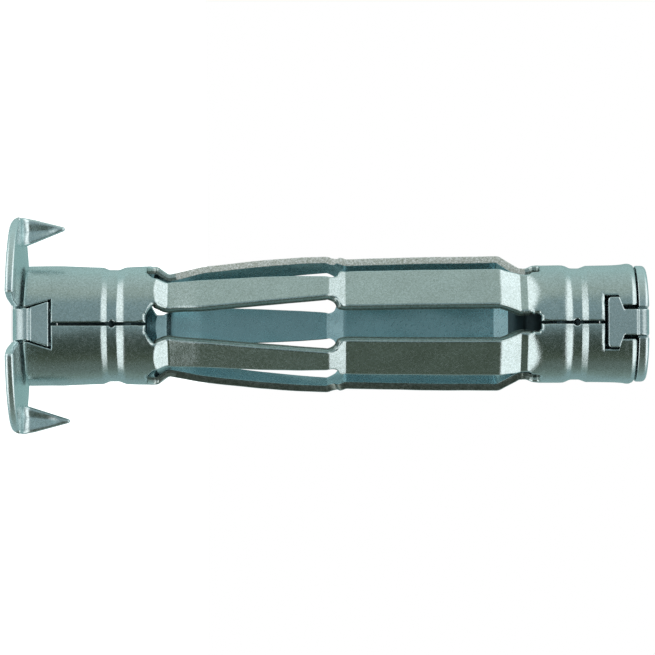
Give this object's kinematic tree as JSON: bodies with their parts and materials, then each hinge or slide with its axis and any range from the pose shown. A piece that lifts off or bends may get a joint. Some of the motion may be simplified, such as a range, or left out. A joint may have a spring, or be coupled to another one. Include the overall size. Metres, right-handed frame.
{
  "type": "hollow wall anchor",
  "caption": "Steel hollow wall anchor: spiked round flange, rolled sleeve with long folding legs, and a tapped end plate for an M6 screw.",
  "frame": {"origin": "centre of the flange's outer face, which it stands on", "axes": "+Z along the axis from the flange to the tapped end plate; -Y towards the sleeve's seam; the spikes are at +X and -X"},
  "size_m": [0.0224, 0.0216, 0.065],
  "materials": {
    "zinc_sleeve": "bright zinc plated, fine cold-rolled grain",
    "zinc_flange": "bright zinc plated",
    "zinc_end_plate": "bright zinc plated"
  },
  "bodies": {
    "root": {"sleeve": "zinc_sleeve", "flange_plate": "zinc_flange", "nut_plate": "zinc_end_plate"}
  },
  "joints": []
}
